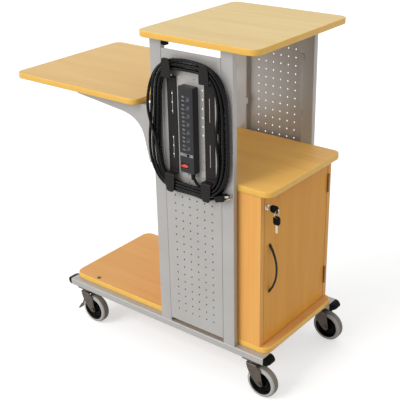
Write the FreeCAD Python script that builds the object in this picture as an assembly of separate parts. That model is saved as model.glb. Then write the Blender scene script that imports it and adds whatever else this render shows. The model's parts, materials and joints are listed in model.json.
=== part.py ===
"""Mobile presentation station: a lectern-height work cart on swivel casters.

Two steel towers stand on a pair of floor rails.  They carry a lectern top, a side shelf on curved
gussets, and a lockable cabinet between them.  A power strip with its wound cord hangs on the near
tower.  Millimetres; +Z is up, the floor is z = 0, the long side runs along X, and the door end is +X.
"""
import FreeCAD
import Part
import math
import os

Vec = FreeCAD.Vector

# ---------------------------------------------------------------- driving dimensions
# Base
rail_length = 874.0          # both floor rails
rail_width = 46.0            # rail section across Y
rail_height = 25.0
tube_wall = 2.0              # wall of every steel tube
tube_corner = 3.0            # outside corner radius of the tubes
base_width = 460.0           # over the outer faces of the two rails
cap_plug_depth = 14.0        # how far an end cap reaches into its rail
cap_clearance = 0.3
cap_nose = 24.0              # how far the cap's rounded nose stands out of the rail
cap_round = 11.0             # how far the nose draws in from the rail's sides at its tip
cap_sections = 4             # steps from the rail to the tip
cap_flat = 0.2               # straight run left between two corners at the tip
cross_tube_width = 38.0      # tubes that join the rails under the deck
cross_tube_height = 20.0
cross_tube_inset = 150.0     # from each rail end to the tube's middle

# Casters
caster_height = 132.0        # floor to rail underside
caster_inset_left = 62.0     # rail end to swivel axis
caster_inset_right = 52.0
caster_trail = 38.0          # swivel axis to wheel axis
wheel_radius = 54.0
tyre_width = 32.0
tyre_depth = 12.0            # tread thickness over the hub
tyre_shoulder = 9.0
hub_web = 9.0                # thickness of the hub's disc
hub_rim = 4.0
hub_boss_radius = 12.0
hub_boss_width = 34.6
hub_ring_radius = 26.0       # middle of the raised ring on each side of the disc
hub_ring_width = 5.0
hub_ring_height = 3.0
axle_radius = 4.0
running_clearance = 0.06     # shaft in its bore
body_gap = 0.3               # between faces that move past each other
plate_length = 62.0          # caster top plate along X
plate_width = 45.0
plate_thick = 3.0
race_radius = 21.0           # ball race housing
race_height = 10.0
kingpin_radius = 5.0
kingpin_head_radius = 9.0
kingpin_head_height = 3.0
fork_sheet = 3.0
fork_inside = 36.0           # clear width between the fork's legs
fork_bend = 5.0              # outside radius where the crown turns down into a leg
fork_front = 16.0            # fork edge ahead of the swivel axis
fork_back = 40.0             # fork edge behind the swivel axis, under the shoulder
fork_end_radius = 11.0       # rounded leg end round the axle
fork_shoulder_drop = 11.0
fork_shoulder_run = 20.0
fork_front_corner = 5.0      # corner that the leg's front edge curves past, ahead of the axis
fork_front_slope = 34.5      # degrees, that edge's slope where it runs into the rounded end
bolt_head_radius = 7.0
bolt_head_height = 4.0
pedal_pivot_ahead = 9.0      # brake pedal pivot ahead of the swivel axis
pedal_pivot_drop = 19.0      # and below the fork's crown
pedal_pin_radius = 2.5
pedal_barrel_radius = 5.0
pedal_sheet = 3.0
pedal_stem_width = 12.0      # narrow stem in front of the tread
pedal_knee_ahead = 29.0      # where the stem ends and the foot plate begins
pedal_knee_drop = 67.0
pedal_tip_ahead = 40.0
pedal_tip_drop = 85.0
pedal_width = 30.0

# Boards
board = 19.0                 # thickness of every laminated board
band = 2.0                   # thickness of the edge banding
deck_width = 410.0           # bottom shelf across Y
deck_corner = 32.0
bolt_inset_x = 107.0         # deck bolt from the deck's end
deck_bolt_inset_y = 17.0
deck_bolt_radius = 8.0
deck_bolt_height = 2.5
top_length = 442.0
top_width = 502.0
top_corner = 30.0
top_overhang_left = 35.0     # past the towers' left faces
top_height = 1002.0          # top surface above the rails
side_length = 561.0
side_width = 518.0
side_corner = 30.0
side_gap = 45.0              # side shelf to the towers
side_height = 782.0
mid_height = 570.0
mid_corner = 30.0
mid_overhang = 35.0          # past the cabinet's front
deck_ledge = 30.0            # deck in front of the cabinet

# Towers
tower_width = 312.0          # over both posts of a tower
post_width = 45.0
post_depth = 20.0
post_plate = 3.0             # plates that screw to the top shelf
post_plate_reach = 62.0
panel_sheet = 1.5
panel_fold = 12.0            # folded side flanges of the panels
panel_bottom_gap = 18.0      # above the rails
panel_top_gap = 27.5         # below the top shelf
hole_radius = 2.7
hole_pitch_x = 29.4
hole_pitch_z = 28.0
hole_columns = 6
hole_rows = 30
hole_sides = 6
first_hole = 47.0            # lowest row above the panel's bottom edge
tab_width = 14.0             # welded tabs between panel and post
tab_height = 22.0
tab_thick = 2.0
tab_levels = 5

# Side shelf gussets
gusset_sheet = 3.0
gusset_reach = 330.0         # from the post to the tip
gusset_depth = 189.0         # height down the post
gusset_tip = 15.0            # height of the blunt tip
gusset_foot = 19.0           # width at the lower end
gusset_arm_reach = 138.0     # where the sloping arm meets the curve
gusset_arm_drop = 37.0
gusset_leg_reach = 39.0      # where the curve meets the leg
gusset_leg_drop = 105.0
gusset_corner_reach = 56.0   # corner that the curve rounds off
gusset_corner_drop = 45.0
gusset_flange = 24.0

# Cabinet
cabinet_width = 410.0
cabinet_front = 238.0        # door face from the towers' middle
cabinet_back = 140.0         # outside of the back board from the towers' middle
door_gap = 2.0               # round the door
hinge_gap = 2.8              # door edge to side board on the hinge side
leaf_sheet = 1.2
leaf_length = 64.0
leaf_depth = 16.0
knuckle_radius = 3.4
hinge_pin_radius = 1.6
hinge_inset = 90.0           # hinge middle from the door's ends
knuckle_count = 3
handle_span = 166.0          # between the feet's centres
handle_bow = 27.0            # height of the bow's centre line
handle_mid_width = 7.6       # bar's oval section at the middle
handle_mid_thick = 6.4
handle_end_width = 13.0      # and where it flattens out on the door
handle_end_thick = 7.4
handle_sections = 12
handle_swell = 4             # power by which the bar widens towards its ends
handle_overrun = 4.0         # degrees of bar beyond the door's face, cut off flush
handle_from_edge = 30.0      # from the door's free edge
handle_drop = 262.0          # handle's middle below the door's top
lock_from_edge = 12.0
lock_drop = 44.0
lock_bezel_radius = 10.5
lock_bezel_height = 2.5
lock_body_radius = 9.0
lock_plug_radius = 6.0
lock_plug_proud = 1.0
cam_sheet = 2.5
cam_reach = 23.0
cam_half_width = 5.0
cam_gap = 1.5                # cam behind the door
mortise_margin = 2.5         # round the cam in the side board
key_blade_height = 7.0
key_blade_thick = 1.8
key_neck = 9.0               # blade showing between lock and head
key_head_length = 29.0
key_head_height = 24.0
key_head_thick = 4.6
key_head_corner = 3.0
key_shoulder_height = 15.0   # head's height at the blade
key_end_height = 13.0        # and at its far end
key_flank = 6.0              # length of its sloping flanks
key_hole_radius = 2.8
key_hole_inset = 6.0
key_blade_length = 27.0
ring_radius = 12.0
ring_wire = 0.9
ring_play = 0.5              # between the ring's wire and the key's hole where it hangs

# Cord wrap brackets
bracket_width = 36.0
bracket_sheet = 3.0
bracket_bend = 6.0           # outside radius of the bends
bracket_reach = 28.0         # outside of the tabs from the panel's face
bracket_spacing = 142.0      # between the brackets' middles
bracket_height = 312.0       # over the two arms
bracket_level = 721.5        # middle of the brackets above the rails
bracket_tab = 58.0           # height of a hook's tab
bracket_tip_width = 28.0     # of a tab, before its corners are rounded
bracket_tip_radius = 9.0
bracket_slot_length = 76.0
bracket_slot_width = 6.0
bracket_slot_offset = 72.0   # slot's middle from the bracket's middle

# Power strip
strip_width = 56.0
strip_depth = 26.0
strip_length = 272.0
strip_corner = 3.0
outlet_count = 7
outlet_pitch = 25.6
outlet_first = 36.0          # first outlet's middle below the strip's top
outlet_width = 34.0
outlet_height = 21.0
outlet_recess = 4.0
outlet_corner = 3.0
blade_slot_height = 7.0
blade_slot_width = 2.0
ground_radius = 2.6
ground_offset = 7.0
slot_depth = 3.0
rocker_width = 26.0          # along X
rocker_height = 14.0
rocker_offset = -8.0         # from the strip's middle
rocker_from_end = 23.0       # rocker's middle above the strip's lower end
rocker_pocket = 9.0
rocker_clearance = 0.9
rocker_pin_radius = 1.2
rocker_pin_length = 2.0      # pin end above and below the pocket
rocker_pivot_depth = 3.5
rocker_tilt = 9.0            # degrees each way
rocker_rise = 0.6            # rocker's pressed end above the housing
breaker_radius = 3.6
breaker_height = 2.0
breaker_pocket = 6.0
breaker_from_end = 59.0
breaker_offset = 6.0

# Cord
cord_radius = 4.6
cord_side = 14.0             # cord exit from the strip's middle
relief_length = 20.0
relief_root_radius = 8.0
relief_tip_radius = 5.6
coil_outer_width = 314.0
coil_outer_height = 438.0
coil_outer_corner = 145.0
coil_sag = 7.0               # middle of the outer outline above the brackets' middle
coil_inner_width = 198.0
coil_inner_height = 348.0
coil_inner_corner = 32.0
coil_clearance = 0.5         # to the bracket's plate and tabs
plug_length = 36.0
plug_width = 25.0
plug_height = 20.0
plug_neck = 12.0
plug_neck_radius = 7.0
plug_corner = 3.0
blade_length = 17.0
blade_height = 6.3
blade_thick = 1.5
blade_spacing = 12.7
plug_blade_rise = 3.0        # blades above the plug's axis
plug_ground_drop = 6.0       # ground pin below it
ground_pin_radius = 2.4

# Cable clip under the top shelf
clip_width = 18.0
clip_height = 20.0
clip_depth = 16.0

# ---------------------------------------------------------------- levels and planes worked out
rail_top = caster_height + rail_height
deck_top = rail_top + board
mid_top = rail_top + mid_height
side_top = rail_top + side_height
top_top = rail_top + top_height
outer_y = base_width / 2                       # outer face of rails, posts and panels
post_inner_y = outer_y - post_depth
rail_mid_y = outer_y - rail_width / 2
tower_half = tower_width / 2
panel_half = tower_half - post_width
rail_right = cabinet_front + deck_ledge
rail_left = rail_right - rail_length
right_reach = rail_right - caster_inset_right + caster_trail + wheel_radius
post_top = top_top - board - post_plate
side_right = -tower_half - side_gap
side_left = side_right - side_length
centre_x = (side_left + right_reach) / 2   # middle of the whole cart, which becomes x = 0

pieces = {}


def keep(name, *solids):
    """Store one sub-part: a single solid, or a group of like solids."""
    shape = solids[0] if len(solids) == 1 else Part.makeCompound(list(solids))
    pieces[name] = shape


def block(x0, x1, y0, y1, z0, z1):
    """Solid box between two corners given axis by axis, in any order."""
    xs, ys, zs = sorted((x0, x1)), sorted((y0, y1)), sorted((z0, z1))
    size = (xs[1] - xs[0], ys[1] - ys[0], zs[1] - zs[0])
    return Part.makeBox(*size, Vec(xs[0], ys[0], zs[0]))


def rod(radius, start, end):
    """Round bar between two points."""
    start, end = Vec(*start), Vec(*end)
    return Part.makeCylinder(radius, (end - start).Length, start, end - start)


def loop(points):
    """Closed wire of straight edges through the points."""
    return Part.makePolygon([Vec(*p) for p in points] + [Vec(*points[0])])


def rounded_loop(x0, x1, y0, y1, z, radius):
    """Rectangle in the XY plane with four quarter-circle corners."""
    turns = ((x1 - radius, y1 - radius, 0), (x0 + radius, y1 - radius, 90),
             (x0 + radius, y0 + radius, 180), (x1 - radius, y0 + radius, 270))
    arcs = []
    for cx, cy, start in turns:
        circle = Part.Circle(Vec(cx, cy, z), Vec(0, 0, 1), radius)
        arcs.append(Part.Arc(circle, math.radians(start), math.radians(start + 90)).toShape())
    edges = []
    for arc, following in zip(arcs, arcs[1:] + arcs[:1]):
        edges.append(arc)
        here, there = arc.Vertexes[-1].Point, following.Vertexes[0].Point
        edges.append(Part.makeLine(here, there))
    return Part.Wire(edges)


def soft_loop(corners):
    """Closed wire of straight edges through (point, radius) corners, rounded by tangent arcs."""
    bends, count = [], len(corners)
    for i, (corner, radius) in enumerate(corners):
        run_in = (corner - corners[i - 1][0]).normalize()
        run_out = (corners[(i + 1) % count][0] - corner).normalize()
        turn = run_in.getAngle(run_out)
        trim = radius * math.tan(turn / 2)
        depth = radius / math.cos(turn / 2) - radius
        inward = (run_out - run_in).normalize()
        bends.append((corner - run_in * trim, corner + inward * depth, corner + run_out * trim))
    edges = []
    for i, (start, through, end) in enumerate(bends):
        if corners[i][1] > 0:
            edges.append(Part.Arc(start, through, end).toShape())
        edges.append(Part.makeLine(end, bends[(i + 1) % count][0]))
    return Part.Wire(edges)


def slab(x0, x1, y0, y1, z0, z1, radius):
    """Upright prism on a rounded rectangle."""
    face = Part.Face(rounded_loop(x0, x1, y0, y1, z0, radius))
    return face.extrude(Vec(0, 0, z1 - z0))


def pierced_face(outline, holes):
    """Flat face inside a closed wire, less the holes."""
    return Part.makeFace([outline] + holes, "Part::FaceMakerBullseye")


def ring(x0, x1, y0, y1, z0, z1, radius, wall):
    """Upright band that follows a rounded rectangle, with its wall inside the outline."""
    outer = rounded_loop(x0, x1, y0, y1, z0, radius)
    inner = rounded_loop(x0 + wall, x1 - wall, y0 + wall, y1 - wall, z0, radius - wall)
    return pierced_face(outer, [inner]).extrude(Vec(0, 0, z1 - z0))


def upright_tube(x0, x1, y0, y1, z0, z1):
    """Rectangular steel tube standing along Z."""
    return ring(x0, x1, y0, y1, z0, z1, tube_corner, tube_wall)


def lying_tube(length, width, height):
    """Rectangular steel tube along +X from the origin, centred on Y, resting on z = 0."""
    tube = upright_tube(-height, 0, -width / 2, width / 2, 0, length)
    tube.rotate(Vec(0, 0, 0), Vec(0, 1, 0), 90)
    return tube


def moved(shape, x=0, y=0, z=0):
    """Copy of a shape, shifted."""
    copy = shape.copy()
    copy.translate(Vec(x, y, z))
    return copy


def mirrored_y(shape):
    """Copy of a shape on the other side of the XZ plane."""
    return shape.mirror(Vec(0, 0, 0), Vec(0, 1, 0))


# ---------------------------------------------------------------- base
def end_cap(way):
    """Moulded cap on a rail's end at the origin: a plug inside it, and a nose that rounds off to its tip."""
    sections = []
    for i in range(cap_sections + 1):
        angle = math.radians(90 * i / cap_sections)
        inset, along = cap_round * (1 - math.cos(angle)), cap_nose * math.sin(angle)
        half_y, half_z = rail_width / 2 - inset, rail_height / 2 - inset
        corner = min(tube_corner + inset, half_z - cap_flat / 2)
        sections.append(rounded_loop(-half_z, half_z, -half_y, half_y, along, corner))
    nose = Part.makeLoft(sections, True, True)
    inside = tube_wall + cap_clearance
    plug_y, plug_z = rail_width / 2 - inside, rail_height / 2 - inside
    plug = block(-plug_z, plug_z, -plug_y, plug_y, -cap_plug_depth, 0)
    cap = nose.fuse(plug).removeSplitter()
    cap.rotate(Vec(0, 0, 0), Vec(0, 1, 0), way * 90)
    return cap


def build_base():
    """Two floor rails with rounded end caps, joined by two cross tubes."""
    rail = moved(lying_tube(rail_length, rail_width, rail_height), rail_left, -rail_mid_y, caster_height)
    keep("near_rail", rail)
    keep("far_rail", mirrored_y(rail))

    caps = []
    for end, way in ((rail_right, 1), (rail_left, -1)):
        cap = end_cap(way)
        cap.translate(Vec(end, -rail_mid_y, caster_height + rail_height / 2))
        caps += [cap, mirrored_y(cap)]
    keep("rail_end_caps", *caps)

    reach = rail_mid_y - rail_width / 2
    crosses = []
    for middle in (rail_left + cross_tube_inset, rail_right - cross_tube_inset):
        tube = lying_tube(2 * reach, cross_tube_width, cross_tube_height)
        tube.rotate(Vec(0, 0, 0), Vec(0, 0, 1), 90)
        crosses.append(moved(tube, middle, -reach, rail_top - cross_tube_height))
    keep("cross_tubes", *crosses)


# ---------------------------------------------------------------- casters
fork_crown_z = caster_height - plate_thick - race_height - body_gap
pedal_pivot_z = fork_crown_z - pedal_pivot_drop


def caster_head(x, y):
    """Top plate, ball race and kingpin of one swivel caster."""
    plate = slab(x - plate_length / 2, x + plate_length / 2, y - plate_width / 2, y + plate_width / 2,
                 caster_height - plate_thick, caster_height, tube_corner)
    race_top = caster_height - plate_thick
    race = Part.makeCone(race_radius - plate_thick, race_radius, race_height,
                         Vec(x, y, race_top - race_height))
    pin_bottom = fork_crown_z - fork_sheet - body_gap
    pin = rod(kingpin_radius, (x, y, pin_bottom), (x, y, race_top - race_height))
    head = rod(kingpin_head_radius, (x, y, pin_bottom - kingpin_head_height), (x, y, pin_bottom))
    return plate.fuse([race, pin, head]).removeSplitter()


def fork_outline():
    """Side view of a fork as a face in the XZ plane, with the swivel axis at x = 0."""
    end, slope = fork_end_radius, math.radians(fork_front_slope)
    low = Vec(caster_trail - end * math.sin(slope), 0, wheel_radius - end * math.cos(slope))
    corner = Vec(-fork_front_corner, 0, low.z + (low.x + fork_front_corner) * math.tan(slope))
    crown_front = Vec(-fork_front, 0, fork_crown_z)
    crown_back = Vec(fork_back - fork_shoulder_run, 0, fork_crown_z)
    shoulder = Vec(fork_back, 0, fork_crown_z - fork_shoulder_drop)
    back = Vec(caster_trail + end, 0, wheel_radius)
    middle = -(math.pi / 2 + slope) / 2
    through = Vec(caster_trail + end * math.cos(middle), 0, wheel_radius + end * math.sin(middle))
    front_edge = Part.BezierCurve()
    front_edge.setPoles([low, corner, crown_front])
    return Part.Face(Part.Wire([
        Part.makeLine(crown_front, crown_back), Part.makeLine(crown_back, shoulder),
        Part.makeLine(shoulder, back), Part.Arc(back, through, low).toShape(), front_edge.toShape()]))


def caster_fork(x, y, braked):
    """Pressed fork, cut from a bent channel, and on a braked caster the pedal's pivot pin."""
    half = fork_inside / 2 + fork_sheet
    length = fork_front + fork_back + caster_trail
    channel = ring(-fork_crown_z, fork_crown_z, -half, half, 0, length, fork_bend, fork_sheet)
    channel.rotate(Vec(0, 0, 0), Vec(0, 1, 0), 90)
    side_view = moved(fork_outline(), 0, -half).extrude(Vec(0, 2 * half, 0))
    fork = moved(moved(channel, -fork_front).common(side_view), x, y)
    fork = fork.cut(rod(kingpin_radius + running_clearance, (x, y, fork_crown_z - 2 * fork_sheet),
                        (x, y, fork_crown_z + fork_sheet)))
    fork = fork.cut(rod(axle_radius, (x + caster_trail, y - half, wheel_radius),
                        (x + caster_trail, y + half, wheel_radius)))
    if braked:
        pin_x = x - pedal_pivot_ahead
        pin = rod(pedal_pin_radius, (pin_x, y - fork_inside / 2, pedal_pivot_z),
                  (pin_x, y + fork_inside / 2, pedal_pivot_z))
        fork = fork.fuse(pin)
    return fork.removeSplitter()


def caster_axle(x, y):
    """Axle bolt with a hexagon head at each side of the fork."""
    half = fork_inside / 2 + fork_sheet
    bolt = rod(axle_radius, (x, y - half, wheel_radius), (x, y + half, wheel_radius))
    corners = [(bolt_head_radius * math.cos(math.radians(60 * i)),
                bolt_head_radius * math.sin(math.radians(60 * i))) for i in range(6)]
    for side in (-1, 1):
        start = y + side * half
        hexagon = loop([(x + cx, start, wheel_radius + cz) for cx, cz in corners])
        bolt = bolt.fuse(Part.Face(hexagon).extrude(Vec(0, side * bolt_head_height, 0)))
    return bolt.removeSplitter()


def revolved(profile, x, y, z):
    """Turn a closed (offset along Y, radius) profile about the wheel's axis."""
    wire = loop([(x, y + offset, z + radius) for offset, radius in profile])
    return Part.Face(wire).revolve(Vec(x, y, z), Vec(0, 1, 0), 360)


def caster_tyre(x, y):
    """Grey tread with rounded shoulders."""
    half, seat = tyre_width / 2, wheel_radius - tyre_depth
    profile = [(-half, seat), (half, seat), (half, wheel_radius - tyre_shoulder)]
    steps = 3
    for i in range(1, steps + 1):
        angle = math.radians(90 * i / steps)
        profile.append((half - tyre_shoulder * (1 - math.cos(angle)),
                        wheel_radius - tyre_shoulder * (1 - math.sin(angle))))
    for i in range(steps, -1, -1):
        angle = math.radians(90 * i / steps)
        profile.append((-half + tyre_shoulder * (1 - math.cos(angle)),
                        wheel_radius - tyre_shoulder * (1 - math.sin(angle))))
    return revolved(profile, x, y, wheel_radius)


def caster_hub(x, y):
    """Moulded hub: rim, recessed disc with a raised ring, and boss, bored for the axle."""
    half, seat = tyre_width / 2 - 1, wheel_radius - tyre_depth
    rim, boss, bore = seat - hub_rim, hub_boss_radius, axle_radius + running_clearance
    web = hub_web / 2
    ring_low, ring_high = hub_ring_radius - hub_ring_width / 2, hub_ring_radius + hub_ring_width / 2
    side = [(half, seat), (half, rim), (web, rim - hub_rim), (web, ring_high),
            (web + hub_ring_height, hub_ring_radius), (web, ring_low), (web, boss + hub_rim),
            (hub_boss_width / 2, boss), (hub_boss_width / 2, bore)]
    return revolved(side + [(-offset, radius) for offset, radius in reversed(side)], x, y, wheel_radius)


def brake_pedal(x, y):
    """Sheet pedal that hinges on the fork's pin: its stem presses on the tread, its foot plate sticks out."""
    pivot = (x - pedal_pivot_ahead, pedal_pivot_z)
    knee = (x - pedal_knee_ahead, fork_crown_z - pedal_knee_drop)
    tip = (x - pedal_tip_ahead, fork_crown_z - pedal_tip_drop)
    half = pedal_width / 2

    def sheet(start, end, width):
        """Flat stretch of the pedal between two points of its side view."""
        run = (end[0] - start[0], end[1] - start[1])
        length = math.hypot(*run)
        nx, nz = -run[1] / length * pedal_sheet / 2, run[0] / length * pedal_sheet / 2
        low = y - width / 2
        wire = loop([(start[0] + nx, low, start[1] + nz), (end[0] + nx, low, end[1] + nz),
                     (end[0] - nx, low, end[1] - nz), (start[0] - nx, low, start[1] - nz)])
        return Part.Face(wire).extrude(Vec(0, width, 0))

    def cross_bar(radius, place):
        """Round bar across the pedal's full width."""
        return rod(radius, (place[0], y - half, place[1]), (place[0], y + half, place[1]))

    pedal = cross_bar(pedal_barrel_radius, pivot)
    pedal = pedal.fuse([sheet(pivot, knee, pedal_stem_width), sheet(knee, tip, pedal_width),
                        cross_bar(pedal_sheet / 2, knee), cross_bar(pedal_sheet, tip)]).removeSplitter()
    return pedal.cut(cross_bar(pedal_pin_radius + running_clearance, pivot))


def build_casters():
    """Four swivel casters, all trailing towards +X; the two at the side shelf's end have brakes."""
    left, right = rail_left + caster_inset_left, rail_right - caster_inset_right
    places = {"near_left": (left, -rail_mid_y), "near_right": (right, -rail_mid_y),
              "far_left": (left, rail_mid_y), "far_right": (right, rail_mid_y)}
    keep("caster_heads", *[caster_head(x, y) for x, y in places.values()])
    for name, (x, y) in places.items():
        braked = name.endswith("left")
        wheel_x = x + caster_trail
        keep("caster_fork_" + name, caster_fork(x, y, braked), caster_axle(wheel_x, y))
        keep("caster_tyre_" + name, caster_tyre(wheel_x, y))
        keep("caster_hub_" + name, caster_hub(wheel_x, y))
        if braked:
            keep("brake_pedal_" + name, brake_pedal(x, y))


# ---------------------------------------------------------------- boards
def build_shelf(name, x0, x1, width, top, corner):
    """Laminated board and the banding glued round its edge."""
    half = width / 2
    core = slab(x0 + band, x1 - band, -half + band, half - band, top - board, top, corner - band)
    edging = ring(x0, x1, -half, half, top - board, top, corner, band)
    keep(name, core)
    keep(name + "_edge_band", edging)


def build_shelves():
    """Deck, lectern top, side shelf and the cabinet's top."""
    build_shelf("bottom_shelf", rail_left, rail_right, deck_width, deck_top, deck_corner)
    top_left = -tower_half - top_overhang_left
    build_shelf("top_shelf", top_left, top_left + top_length, top_width, top_top, top_corner)
    build_shelf("side_shelf", side_left, side_right, side_width, side_top, side_corner)
    mid_width = 2 * (post_inner_y - body_gap)
    build_shelf("mid_shelf", -tower_half, cabinet_front + mid_overhang, mid_width, mid_top, mid_corner)
    x, y = rail_left + bolt_inset_x, deck_width / 2 - deck_bolt_inset_y
    bolt = Part.makeCone(deck_bolt_radius, deck_bolt_radius - deck_bolt_height, deck_bolt_height,
                         Vec(x, -y, deck_top))
    keep("deck_bolts", bolt, mirrored_y(bolt))


# ---------------------------------------------------------------- towers
def perforated_panel():
    """Sheet with folded side flanges and a grid of small holes, near side."""
    low, high = rail_top + panel_bottom_gap, top_top - board - panel_top_gap
    outline = loop([(-panel_half, -outer_y, low), (panel_half, -outer_y, low),
                    (panel_half, -outer_y, high), (-panel_half, -outer_y, high)])
    holes = []
    for column in range(hole_columns):
        x = (column - (hole_columns - 1) / 2) * hole_pitch_x
        for row in range(hole_rows):
            z = low + first_hole + row * hole_pitch_z
            corners = []
            for i in range(hole_sides):
                angle = 2 * math.pi * i / hole_sides
                corners.append((x + hole_radius * math.cos(angle), -outer_y,
                                z + hole_radius * math.sin(angle)))
            holes.append(loop(corners))
    sheet = pierced_face(outline, holes).extrude(Vec(0, panel_sheet, 0))
    folds = [block(way * (panel_half - panel_sheet), way * panel_half, -outer_y + panel_sheet,
                   -outer_y + panel_fold, low, high) for way in (-1, 1)]
    return sheet.fuse(folds).removeSplitter()


def build_towers():
    """Posts, panels, welded tabs and the plates under the top shelf."""
    posts = [upright_tube(x, x + post_width, -outer_y, -post_inner_y, rail_top, post_top)
             for x in (-tower_half, panel_half)]
    keep("near_posts", *posts)
    keep("far_posts", *[mirrored_y(post) for post in posts])
    panel = perforated_panel()
    keep("near_panel", panel)
    keep("far_panel", mirrored_y(panel))

    low, high = rail_top + panel_bottom_gap, top_top - board - panel_top_gap
    tabs = []
    for level in range(tab_levels):
        z = low + (high - low) * (level + 0.5) / tab_levels - tab_height / 2
        for side in (-1, 1):
            x = side * panel_half - tab_width / 2
            tab = block(x, x + tab_width, -post_inner_y, -post_inner_y + tab_thick, z, z + tab_height)
            link = block(side * panel_half, side * (panel_half - tab_thick), -outer_y + panel_fold,
                         -post_inner_y, z, z + tab_height)
            tabs.append(tab.fuse(link).removeSplitter())
    keep("panel_tabs", *(tabs + [mirrored_y(tab) for tab in tabs]))

    plates = []
    for x in (-tower_half, panel_half):
        plate = block(x, x + post_width, -outer_y, -outer_y + post_plate_reach,
                      post_top, post_top + post_plate)
        plates += [plate, mirrored_y(plate)]
    keep("post_top_plates", *plates)

    clip_x = -panel_half
    clip_z = top_top - board
    clip = block(clip_x, clip_x + clip_width, -outer_y + band, -outer_y + band + clip_depth,
                 clip_z - clip_height, clip_z)
    keep("cable_clip", clip)


# ---------------------------------------------------------------- side shelf gussets
def build_gussets():
    """Curved sheet brackets from the left posts, each with a flange under the shelf."""
    post_x, under = -tower_half, side_top - board

    def at(reach, drop):
        """Point of the gusset's outline, measured out from the post and down from the shelf."""
        return Vec(post_x - reach, -outer_y, under - drop)

    curve = Part.BezierCurve()
    curve.setPoles([at(gusset_arm_reach, gusset_arm_drop), at(gusset_corner_reach, gusset_corner_drop),
                    at(gusset_leg_reach, gusset_leg_drop)])
    edges = [Part.makeLine(at(0, 0), at(gusset_reach, 0)),
             Part.makeLine(at(gusset_reach, 0), at(gusset_reach, gusset_tip)),
             Part.makeLine(at(gusset_reach, gusset_tip), at(gusset_arm_reach, gusset_arm_drop)),
             curve.toShape(),
             Part.makeLine(at(gusset_leg_reach, gusset_leg_drop), at(gusset_foot, gusset_depth)),
             Part.makeLine(at(gusset_foot, gusset_depth), at(0, gusset_depth)),
             Part.makeLine(at(0, gusset_depth), at(0, 0))]
    web = Part.Face(Part.Wire(edges)).extrude(Vec(0, gusset_sheet, 0))
    flange = block(post_x - gusset_reach, post_x, -outer_y + gusset_sheet, -outer_y + gusset_flange,
                   under - gusset_sheet, under)
    gusset = web.fuse(flange).removeSplitter()
    keep("near_gusset", gusset)
    keep("far_gusset", mirrored_y(gusset))


# ---------------------------------------------------------------- cabinet
door_back = cabinet_front - board
side_inner_y = cabinet_width / 2 - board
door_low, door_high = deck_top + door_gap, mid_top - board - door_gap
door_near_y = -side_inner_y + door_gap
door_far_y = side_inner_y - hinge_gap
lock_y, lock_z = door_near_y + lock_from_edge, door_high - lock_drop
handle_y, handle_z = door_near_y + handle_from_edge, door_high - handle_drop
pin_x = cabinet_front + knuckle_radius + body_gap
pin_y = side_inner_y - hinge_gap / 2
cam_x = door_back - cam_gap - cam_sheet


def build_cabinet():
    """Two side boards, a back board and the inset door."""
    half, top = cabinet_width / 2, mid_top - board
    near = block(-cabinet_back, cabinet_front, -half, -side_inner_y, deck_top, top)
    far = block(-cabinet_back, cabinet_front, side_inner_y, half, deck_top, top)
    reach = cam_reach + mortise_margin
    mortise = block(cam_x - mortise_margin, cam_x + cam_sheet + mortise_margin, lock_y - reach, -side_inner_y,
                    lock_z - reach, lock_z + cam_half_width + mortise_margin)
    keep("cabinet_near_side", near.cut(mortise))
    keep("cabinet_far_side", far)
    back = block(-cabinet_back, -cabinet_back + board, -side_inner_y, side_inner_y, deck_top, top)
    keep("cabinet_back", back)
    door = block(door_back, cabinet_front, door_near_y, door_far_y, door_low, door_high)
    hole = rod(lock_body_radius, (door_back, lock_y, lock_z), (cabinet_front, lock_y, lock_z))
    keep("door", door.cut(hole))


def build_hinges():
    """Two butt hinges whose knuckles stand in front of the door's far edge."""
    frame_leaves, door_leaves = [], []
    step = leaf_length / knuckle_count
    for middle in (door_low + hinge_inset, door_high - hinge_inset):
        low = middle - leaf_length / 2
        high = low + leaf_length
        leaf_back = pin_x - knuckle_radius - leaf_depth
        frame_leaf = block(leaf_back, pin_x, side_inner_y - leaf_sheet, side_inner_y, low, high)
        door_leaf = block(leaf_back, pin_x, door_far_y, door_far_y + leaf_sheet, low, high)
        bore = rod(hinge_pin_radius + running_clearance, (pin_x, pin_y, low), (pin_x, pin_y, high))
        sweep = rod(knuckle_radius + body_gap, (pin_x, pin_y, low), (pin_x, pin_y, high))
        frame_leaf, door_leaf = frame_leaf.cut(sweep), door_leaf.cut(sweep)
        for i in range(knuckle_count):
            start, end = low + i * step + body_gap / 2, low + (i + 1) * step - body_gap / 2
            knuckle = rod(knuckle_radius, (pin_x, pin_y, start), (pin_x, pin_y, end))
            on_frame = i % 2 == 0
            face_y = side_inner_y if on_frame else door_far_y + leaf_sheet
            ear = block(pin_x - knuckle_radius - body_gap, pin_x, face_y - leaf_sheet, face_y, start, end)
            if on_frame:
                frame_leaf = frame_leaf.fuse([knuckle, ear])
            else:
                door_leaf = door_leaf.fuse([knuckle, ear])
        pin = rod(hinge_pin_radius, (pin_x, pin_y, low), (pin_x, pin_y, high))
        cap = rod(knuckle_radius, (pin_x, pin_y, high), (pin_x, pin_y, high + leaf_sheet))
        frame_leaves += [frame_leaf.cut(bore).removeSplitter(), pin.fuse(cap).removeSplitter()]
        door_leaves.append(door_leaf.cut(bore).removeSplitter())
    keep("hinge_frame_leaves", *frame_leaves)
    keep("hinge_door_leaves", *door_leaves)


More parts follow.
